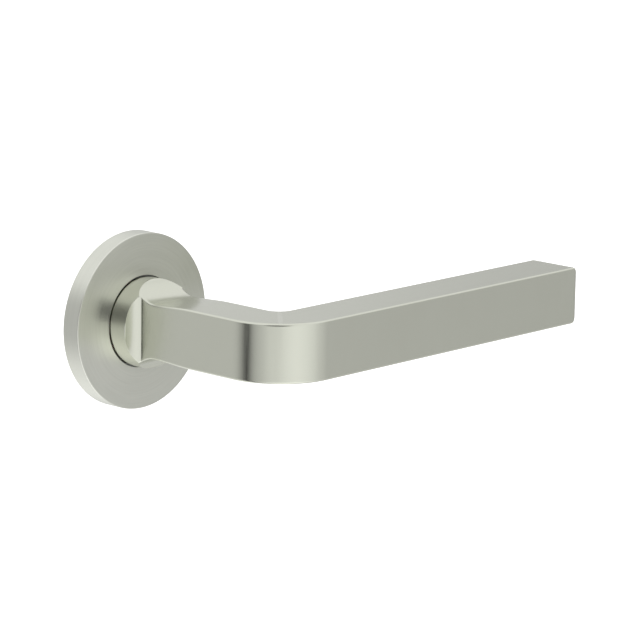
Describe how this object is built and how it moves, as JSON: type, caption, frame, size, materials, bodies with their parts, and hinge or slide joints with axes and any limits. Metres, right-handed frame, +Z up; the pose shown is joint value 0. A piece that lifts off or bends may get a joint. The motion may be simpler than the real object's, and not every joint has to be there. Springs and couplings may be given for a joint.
{
  "type": "door lever handle",
  "caption": "Square-section lever handle with a round neck on a slim round rose, with spindle, sprung carrier and concealed fixing posts.",
  "frame": {"origin": "on the spindle axis, in the plane of the door face that the rose's back lies on", "axes": "+X along the lever from the spindle axis towards the tip, +Y into the door along the spindle, +Z up"},
  "size_m": [0.1496, 0.0893, 0.052],
  "materials": {
    "satin_nickel": "fine satin brushed nickel plate, slightly warm",
    "satin_nickel_turned": "satin nickel with a fine circular turned grain",
    "cast_zinc": "dull as-cast zinc",
    "plated_steel": "bright zinc-plated steel",
    "spring_steel": "drawn spring wire, lightly oiled",
    "black_steel": "blackened steel",
    "natural_nylon": "moulded nylon, slightly waxy",
    "black_rubber": "matt moulded rubber"
  },
  "bodies": {
    "rose": {"rose_cover": "satin_nickel_turned", "rose_base": "cast_zinc", "cover_ring": "black_rubber", "neck_bush": "natural_nylon", "spring_housing": "cast_zinc", "rest_buffer": "natural_nylon", "thrust_ring": "natural_nylon", "return_spring": "spring_steel", "fixing_post_upper": "plated_steel", "fixing_post_lower": "plated_steel", "post_screw_upper": "plated_steel", "post_screw_lower": "plated_steel", "housing_screw_1": "plated_steel", "housing_screw_2": "plated_steel", "housing_screw_3": "plated_steel"},
    "lever": {"lever": "satin_nickel", "grub_screw": "black_steel", "spindle": "plated_steel", "spring_carrier": "plated_steel", "wave_washer": "spring_steel", "circlip": "black_steel"}
  },
  "joints": [
    {"name": "lever_turn", "type": "hinge", "parent": "rose", "child": "lever", "pos_m": [0, 0, 0], "axis": [0, 1, 0], "range_deg": [0, 45], "stiffness_Nm_per_rad": 0.55, "springref_deg": -42.97, "deforming": ["return_spring"]}
  ]
}
